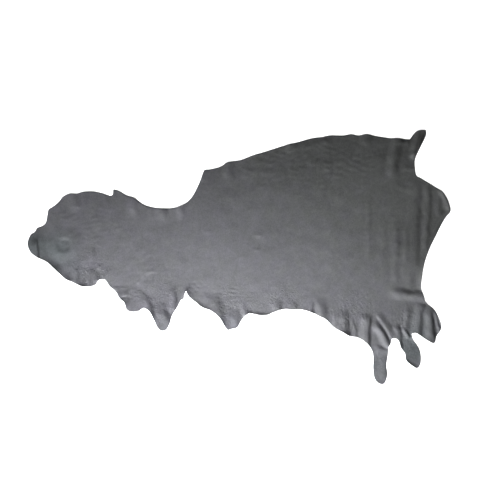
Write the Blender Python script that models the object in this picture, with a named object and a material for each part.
"""A side of cow leather, laid grain side up on a flat surface, as one uneven sheet.

Metres, +Z up. The origin is on the surface, under the middle of the hide. The head end
points to -X, the rump to +X, the backbone edge to +Y and the belly with its shanks to -Y.

The sheet's underside is a height over the surface: nought where the leather lies flat,
and more on its folds and where its edge curls up. Solidify gives it its thickness.
"""

import math

import bmesh
import bpy
import numpy as np
from mathutils.geometry import delaunay_2d_cdt

# Driving dimensions, in metres.
LENGTH = 2.40
THICKNESS = 0.002

# The tables below are drawn in centimetres for a hide 240 cm long, and their heights are
# in millimetres. UNIT and RISE are the size in metres of one centimetre and one
# millimetre of the tables.
DRAWN_LENGTH = 240.0
UNIT = LENGTH / DRAWN_LENGTH
RISE = 0.1 * UNIT

# Spacing of the mesh, in metres: along the edge, and inside at its widest and finest.
EDGE_STEP = 0.015
WIDEST_PITCH = 0.096
PITCH_HALVINGS = 3
BEND_TOLERANCE = 0.0010   # a pitch is halved where the sheet bends by more than this
EDGE_CLEARANCE = 0.55     # inner points keep this share of their pitch from the edge

# The outline, clockwise from the jaw: smooth stretches that meet at sharp corners.
# Columns: x, y. Each stretch ends at the first point of the next one.
OUTLINE = {
    "jaw, muzzle and brow": (
        (-81.5, -15.3), (-84.5, -16.5), (-89.0, -17.0), (-93.8, -14.6), (-98.6, -12.3),
        (-104.0, -8.0), (-109.0, -3.0), (-114.5, -0.2), (-118.5, 3.0), (-120.0, 7.5),
        (-119.5, 10.0), (-118.0, 13.0), (-116.0, 14.0), (-114.6, 16.4), (-111.2, 17.8),
        (-109.9, 19.5), (-108.5, 25.3), (-108.0, 27.0), (-105.5, 28.5), (-102.0, 31.5),
        (-100.1, 34.0), (-95.9, 36.0), (-92.0, 36.0), (-88.0, 37.0), (-82.5, 37.0),
        (-77.0, 36.0), (-73.5, 34.5), (-72.0, 34.8),
    ),
    "ear and neck": (
        (-71.5, 38.0), (-68.5, 37.5), (-64.0, 35.0), (-59.7, 33.5), (-54.0, 29.6),
        (-47.0, 27.8), (-39.5, 27.1), (-34.0, 28.7), (-29.0, 31.5), (-25.5, 36.0),
        (-22.0, 42.5), (-20.5, 47.5),
    ),
    "backbone": (
        (-19.5, 49.0), (-15.0, 50.0), (-10.0, 51.5), (-7.0, 53.5), (-4.0, 54.2),
        (1.0, 54.8), (7.5, 57.5), (15.5, 59.9), (23.5, 62.5), (29.0, 64.1),
        (33.0, 65.0), (40.0, 67.0), (43.5, 67.7), (47.0, 68.0), (51.5, 69.0),
        (59.5, 69.0), (63.5, 69.7), (68.0, 69.0), (72.5, 69.7), (78.0, 68.6),
        (82.5, 67.9), (86.0, 67.4), (90.5, 67.6), (94.0, 67.0),
    ),
    "tail, inner edge": (
        (97.0, 66.8), (99.0, 69.0), (101.0, 71.0), (103.5, 72.0),
    ),
    "tail, outer edge, and rump": (
        (106.0, 72.2), (106.3, 69.7), (102.5, 61.3), (100.2, 56.5), (99.8, 51.0),
        (101.0, 46.0), (103.2, 44.8), (107.0, 42.5), (112.0, 39.5), (115.5, 37.5),
        (118.0, 34.0), (119.7, 29.5), (120.0, 26.0), (117.0, 22.0), (112.0, 12.5),
        (107.5, 3.0), (105.0, -4.5), (103.8, -11.0), (103.5, -17.5), (105.0, -22.0),
    ),
    "hock flap": (
        (105.5, -25.0), (108.0, -27.5), (111.0, -30.0), (113.0, -34.0), (114.8, -39.5),
        (114.0, -42.0), (112.0, -45.0), (111.0, -48.0), (110.0, -48.8), (107.0, -47.0),
        (102.0, -43.5), (100.0, -43.0),
    ),
    "outer shank": (
        (98.0, -43.5), (98.5, -46.5), (101.7, -51.5), (103.2, -56.5), (102.6, -61.5),
        (101.0, -62.9), (98.0, -61.5), (95.1, -58.3), (94.3, -55.0), (92.0, -51.5),
        (91.0, -47.5), (89.0, -45.8), (86.6, -46.7), (86.0, -49.0),
    ),
    "inner shank and flank": (
        (84.5, -51.0), (84.2, -55.5), (83.6, -61.5), (83.9, -67.0), (82.0, -72.0),
        (79.5, -71.8), (77.5, -69.0), (76.7, -63.5), (76.8, -57.0), (75.4, -52.0),
        (72.0, -48.0), (67.5, -45.7), (62.5, -44.8), (59.5, -42.8), (54.2, -39.8),
        (51.2, -36.4), (45.5, -33.5), (40.0, -31.0), (34.0, -29.4), (30.0, -29.6),
        (26.0, -29.1), (18.5, -31.5), (17.0, -32.5), (12.0, -33.0),
    ),
    "belly flap": (
        (6.0, -31.5), (3.5, -33.0), (0.5, -36.5), (-1.2, -39.6), (-4.3, -40.5),
        (-6.3, -41.2), (-8.0, -39.4), (-10.8, -34.7), (-15.8, -30.5), (-21.4, -28.2),
        (-24.0, -26.0), (-27.1, -23.7), (-29.0, -21.4),
    ),
    "armpit": (
        (-30.0, -19.0), (-31.4, -21.4), (-32.3, -23.2),
    ),
    "fore shank and throat": (
        (-33.8, -23.8), (-35.8, -28.5), (-38.5, -33.0), (-40.1, -38.0), (-42.0, -41.0),
        (-44.0, -41.5), (-46.0, -40.0), (-48.0, -35.5), (-50.8, -31.4), (-54.0, -29.0),
        (-57.0, -30.0), (-60.5, -30.7), (-63.5, -29.7), (-65.2, -26.2), (-67.8, -23.3),
        (-70.2, -19.8), (-73.5, -16.5), (-76.0, -13.0), (-79.0, -12.6), (-81.0, -13.5),
    ),
}

# Folds, each a ridge along a crest that bends once. Columns: name, where the crest
# starts, bends and ends (x, y), width of its left and its right slope seen from the
# start, height of its crest in millimetres, and the lengths over which it rises from
# nothing at its start and dies away at its end (0 where it runs off the edge).
FOLDS = (
    ("rump ridge", (107, -23.4), (97, -22.3), (83, -19.4), 4.6, 4.4, 13, 0, 9),
    ("rump swell, outer", (104.7, 1), (106.2, 22), (106.7, 42), 2.8, 3.6, 7, 7, 5),
    ("rump swell, inner", (99.6, -10), (99.8, 14), (101.2, 45), 7.0, 3.6, 7, 9, 8),
    ("rump swell, rim", (111.5, 13), (111.8, 25), (112.0, 36), 2.0, 3.0, 3, 5, 6),
    ("rump swell, at the back", (88.6, 41), (88.8, 55), (90.6, 69), 4.2, 6.0, 8, 9, 0),
    ("tail", (98.3, 53), (99.5, 61.5), (101.6, 73), 2.5, 5.0, 9, 5, 0),
    ("hock flap, rim", (113.8, -42), (113.3, -36.8), (111.4, -29.5), 1.6, 1.2, 5, 0, 0),
    ("hock flap, outer", (109.0, -50), (109.0, -37.4), (108.4, -25), 3.2, 3.6, 12, 0, 8),
    ("hock flap, inner", (102.0, -45), (102.3, -36.2), (104.4, -24), 6.0, 3.0, 12, 0, 8),
    ("outer shank root, upper", (94.2, -43), (94.6, -36.2), (96.6, -26), 2.4, 2.4, 5, 4, 7),
    ("outer shank root, lower", (97.8, -47), (95.4, -44.2), (92.6, -40.8), 1.9, 1.9, 7, 2, 2.5),
    ("notch between the shanks", (91.2, -48), (90.6, -42.5), (89.6, -34), 3.2, 2.4, 9, 0, 7),
    ("inner shank, slanting, upper", (87.6, -46.5), (83.2, -39), (77.4, -31.0), 1.8, 2.6, 6, 0, 5),
    ("inner shank, slanting, lower", (85.4, -49.5), (80.4, -42), (76.8, -35), 3.2, 2.2, 13, 0, 5),
    ("inner shank root", (76, -53.2), (80, -53), (86, -51.5), 2.8, 4.5, 4, 0, 0),
    ("flank, main", (74.2, -52), (73.2, -38), (73.2, -24), 6.0, 2.8, 13, 0, 9),
    ("flank, middle", (66.8, -48), (66.2, -37), (65.7, -29), 2.6, 1.4, 4, 0, 7),
    ("flank, front", (60.8, -48), (60.4, -38), (60.6, -29), 5.5, 3.0, 10, 0, 7),
    ("belly, rear", (46.8, -38), (46, -29.4), (45.1, -21), 3.4, 5.6, 9, 0, 9),
    ("belly, small", (41.2, -32), (41.2, -29), (41.4, -25), 2.2, 2.2, 4, 0, 4),
    ("belly, middle", (31.5, -31), (31.5, -28), (31.5, -24), 4.6, 4.0, 4, 0, 5),
    ("belly, front", (22.4, -32), (22.4, -28), (21.8, -22), 4.6, 4.0, 5, 0, 6),
    ("belly flap, rear", (-1.5, -41), (-0.3, -34), (1.2, -26), 6.0, 2.2, 9, 0, 7),
    ("belly flap, front", (-12.0, -37), (-13.6, -29.4), (-15.5, -19), 5.0, 5.8, 10, 0, 8),
    ("armpit", (-37.8, -32), (-37, -24), (-36.4, -16.5), 5.0, 3.6, 7, 0, 6),
    ("fore shank", (-37, -36.4), (-41.4, -35.1), (-45, -30), 4.0, 3.2, 9, 0, 4),
    ("brisket", (-49.3, -37), (-50.4, -24.7), (-59, -18), 8.0, 2.8, 8, 0, 8),
    ("cheek", (-71, -21.6), (-67, -23.2), (-63, -23.8), 3.0, 1.6, 5, 0, 3),
    ("muzzle", (-115.4, -2), (-115.2, 4), (-115.2, 11), 4.5, 1.4, 4, 0, 4),
    ("neck, front", (-59, 33), (-60.4, 26.5), (-61, 19.5), 3.4, 3.0, 6, 0, 4),
    ("neck, middle", (-44.2, 29), (-44.2, 24), (-45, 17.5), 4.4, 2.4, 5, 0, 5),
    ("neck, rear", (-31.2, 32), (-31.6, 25), (-33, 18), 3.4, 3.2, 5, 0, 5),
)

# Places where the edge curls up. Columns: place, x, y, reach along the edge, how far
# in from the edge the curl begins, and the height of the edge in millimetres.
CURLS = (
    ("chin", -105, -7, 11, 4.5, 8),
    ("jaw, front", -97, -12.5, 4, 4, 6),
    ("jaw", -89, -17, 6, 5, 8),
    ("throat notch", -82, -12, 5, 6, 9),
    ("cheek", -65, -26, 6, 4, 6),
    ("belly, rear", 40, -31, 6, 2.5, 3),
    ("belly, front", 12, -32.5, 8, 2.5, 5),
    ("belly notch", 5, -32, 4, 3, 6),
    ("elbow", -21, -28, 10, 3, 5),
    ("armpit notch", -28.5, -20, 6, 5, 8),
    ("flank rim", 61, -44, 6, 4, 5),
    ("rump point", 118.5, 31, 13, 6, 10),
    ("thigh", 103.8, -11, 9, 3.6, 7),
)

CREST_PIECES = 12
LEATHER_GREY = (0.085, 0.086, 0.092, 1.0)
LEATHER_ROUGHNESS = 0.55


def clear_scene():
    """Remove every object of the scene that the script is run in."""
    for thing in list(bpy.data.objects):
        bpy.data.objects.remove(thing, do_unlink=True)


def smooth_piece(before, start, end, after, count):
    """Return count points of the centripetal Catmull-Rom curve from start towards end."""
    knots = [0.0]
    for first, second in ((before, start), (start, end), (end, after)):
        knots.append(knots[-1] + math.sqrt(np.linalg.norm(second - first)))
    times = np.linspace(knots[1], knots[2], count, endpoint=False)[:, None]

    def between(first, second, low, high):
        share = (times - low) / (high - low)
        return first * (1.0 - share) + second * share

    rise = between(before, start, knots[0], knots[1])
    middle = between(start, end, knots[1], knots[2])
    fall = between(end, after, knots[2], knots[3])
    left = between(rise, middle, knots[0], knots[2])
    right = between(middle, fall, knots[1], knots[3])
    return between(left, right, knots[1], knots[2])


def hide_outline():
    """Return the closed outline as points in metres, centred on the origin, with x and y columns."""
    stretches = [np.array(points) * UNIT for points in OUTLINE.values()]
    outline = []
    for index, stretch in enumerate(stretches):
        next_corner = stretches[(index + 1) % len(stretches)][:1]
        points = np.concatenate([stretch, next_corner])
        padded = np.concatenate([2 * points[:1] - points[1:2], points, 2 * points[-1:] - points[-2:-1]])
        for before, start, end, after in zip(padded, padded[1:], padded[2:], padded[3:]):
            count = max(1, round(np.linalg.norm(end - start) / EDGE_STEP))
            outline.append(smooth_piece(before, start, end, after, count))
    outline = np.concatenate(outline)
    return outline - (outline.min(axis=0) + outline.max(axis=0)) / 2


def edge_distance(points, outline):
    """Return each point's distance from the outline, negative outside it."""
    nearest = np.full(len(points), np.inf)
    inside = np.zeros(len(points), dtype=bool)
    for start, end in zip(outline, np.roll(outline, -1, axis=0)):
        run = end - start
        share = np.clip((points - start) @ run / (run @ run), 0.0, 1.0)
        gap = points - start - share[:, None] * run
        nearest = np.minimum(nearest, np.hypot(gap[:, 0], gap[:, 1]))
        if start[1] != end[1]:
            crosses = (start[1] > points[:, 1]) != (end[1] > points[:, 1])
            crossing_x = start[0] + (points[:, 1] - start[1]) * run[0] / run[1]
            inside ^= crosses & (points[:, 0] < crossing_x)
    return np.where(inside, nearest, -nearest)


def soft_bump(distance):
    """Return 1 at distance 0, falling along half a cosine wave to 0 at distance 1 and beyond."""
    return 0.5 + 0.5 * np.cos(np.pi * np.clip(np.abs(distance), 0.0, 1.0))


def soft_step(distance):
    """Return 0 at distance 0, rising along half a cosine wave to 1 at distance 1 and beyond."""
    return soft_bump(1.0 - np.minimum(distance, 1.0))


def fold_height(points, fold):
    """Return the height of one fold at each point."""
    _, start, bend, end, left, right, height, rise, fall = fold
    start, bend, end = (np.array(place) * UNIT for place in (start, bend, end))
    share = np.linspace(0.0, 1.0, CREST_PIECES + 1)[:, None]
    crest = (1 - share) ** 2 * start + 2 * share * (1 - share) * bend + share ** 2 * end
    offset = np.full(len(points), np.inf)
    along = np.zeros(len(points))
    walked = 0.0
    for first, second in zip(crest, crest[1:]):
        run = second - first
        length = math.hypot(*run)
        to_point = points - first
        step = np.clip(to_point @ run / length ** 2, 0.0, 1.0)
        gap = to_point - step[:, None] * run
        side = np.sign(run[0] * to_point[:, 1] - run[1] * to_point[:, 0])
        distance = np.hypot(gap[:, 0], gap[:, 1])
        closer = distance < np.abs(offset)
        offset = np.where(closer, side * distance, offset)
        along = np.where(closer, walked + step * length, along)
        walked += length
    width = np.where(offset > 0.0, left, right) * UNIT
    swelling = np.ones(len(points))
    if rise:
        swelling *= soft_step(along / (rise * UNIT))
    if fall:
        swelling *= soft_step((walked - along) / (fall * UNIT))
    return height * RISE * swelling * soft_bump(offset / width)


def curl_height(points, inset, curl):
    """Return how far one curl of the edge lifts each point; inset is its distance from the edge."""
    _, x, y, reach, depth, height = curl
    away = np.hypot(points[:, 0] - x * UNIT, points[:, 1] - y * UNIT) / (reach * UNIT)
    slope = np.clip(1.0 - inset / (depth * UNIT), 0.0, 1.0) ** 2
    return height * RISE * soft_bump(away) * slope


def sheet_height(points, outline):
    """Return the height of the sheet's underside at each point."""
    inset = np.maximum(edge_distance(points, outline), 0.0)
    height = sum(fold_height(points, fold) for fold in FOLDS)
    return height + sum(curl_height(points, inset, curl) for curl in CURLS)


def inner_points(outline):
    """Return points inside the outline, on a grid that is finer where the sheet bends."""
    low = outline.min(axis=0)
    high = outline.max(axis=0)
    kept = []
    bending = None
    for halving in range(PITCH_HALVINGS + 1):
        pitch = WIDEST_PITCH / 2 ** halving
        columns = np.arange(low[0] + pitch / 2, high[0], pitch)
        rows = np.arange(low[1] + pitch / 2, high[1], pitch)
        grid = np.stack(np.meshgrid(columns, rows), axis=-1).reshape(-1, 2)
        if bending is not None:
            cell = np.floor((grid - low) / (2 * pitch)).astype(int)
            grid = grid[bending[cell[:, 1], cell[:, 0]]]
        centre = sheet_height(grid, outline)
        bend = np.zeros(len(grid))
        for step in ((pitch / 2, 0), (0, pitch / 2), (pitch / 2, pitch / 2), (pitch / 2, -pitch / 2)):
            around = sheet_height(grid + step, outline) + sheet_height(grid - step, outline)
            bend = np.maximum(bend, np.abs(around / 2 - centre))
        splits = (bend > BEND_TOLERANCE) & (halving < PITCH_HALVINGS)
        clear = edge_distance(grid, outline) > EDGE_CLEARANCE * pitch
        kept.append(grid[clear & ~splits])
        bending = np.zeros((len(rows) + 1, len(columns) + 1), dtype=bool)
        cell = np.floor((grid[splits] - low) / pitch).astype(int)
        bending[cell[:, 1], cell[:, 0]] = True
    return np.concatenate(kept)


def leather():
    """Return the material of the finished grain side: a neutral dark grey with a dull shine."""
    material = bpy.data.materials.new("grey_leather")
    material.use_nodes = True
    shader = material.node_tree.nodes["Principled BSDF"]
    shader.inputs["Base Color"].default_value = LEATHER_GREY
    shader.inputs["Roughness"].default_value = LEATHER_ROUGHNESS
    shader.inputs["Metallic"].default_value = 0.0
    return material


def make_hide():
    """Make the hide: its underside as a net of triangles, thickened upwards."""
    outline = hide_outline()
    flat_points = np.concatenate([outline, inner_points(outline)])
    edges = [(index, (index + 1) % len(outline)) for index in range(len(outline))]
    corners, _, triangles, _, _, _ = delaunay_2d_cdt(flat_points.tolist(), edges, [], 1, 1e-7)
    flat_points = np.array([tuple(corner) for corner in corners])
    heights = sheet_height(flat_points, outline)
    mesh = bpy.data.meshes.new("hide")
    mesh.from_pydata(np.column_stack([flat_points, heights]).tolist(), [], triangles)
    shape = bmesh.new()
    shape.from_mesh(mesh)
    for face in shape.faces:
        if face.normal.z < 0.0:
            face.normal_flip()
    shape.to_mesh(mesh)
    shape.free()
    mesh.shade_smooth()
    mesh.materials.append(leather())
    hide = bpy.data.objects.new("hide", mesh)
    bpy.context.collection.objects.link(hide)
    thicken = hide.modifiers.new("thickness", "SOLIDIFY")
    thicken.thickness = THICKNESS
    thicken.offset = 1.0
    return hide


clear_scene()
make_hide()
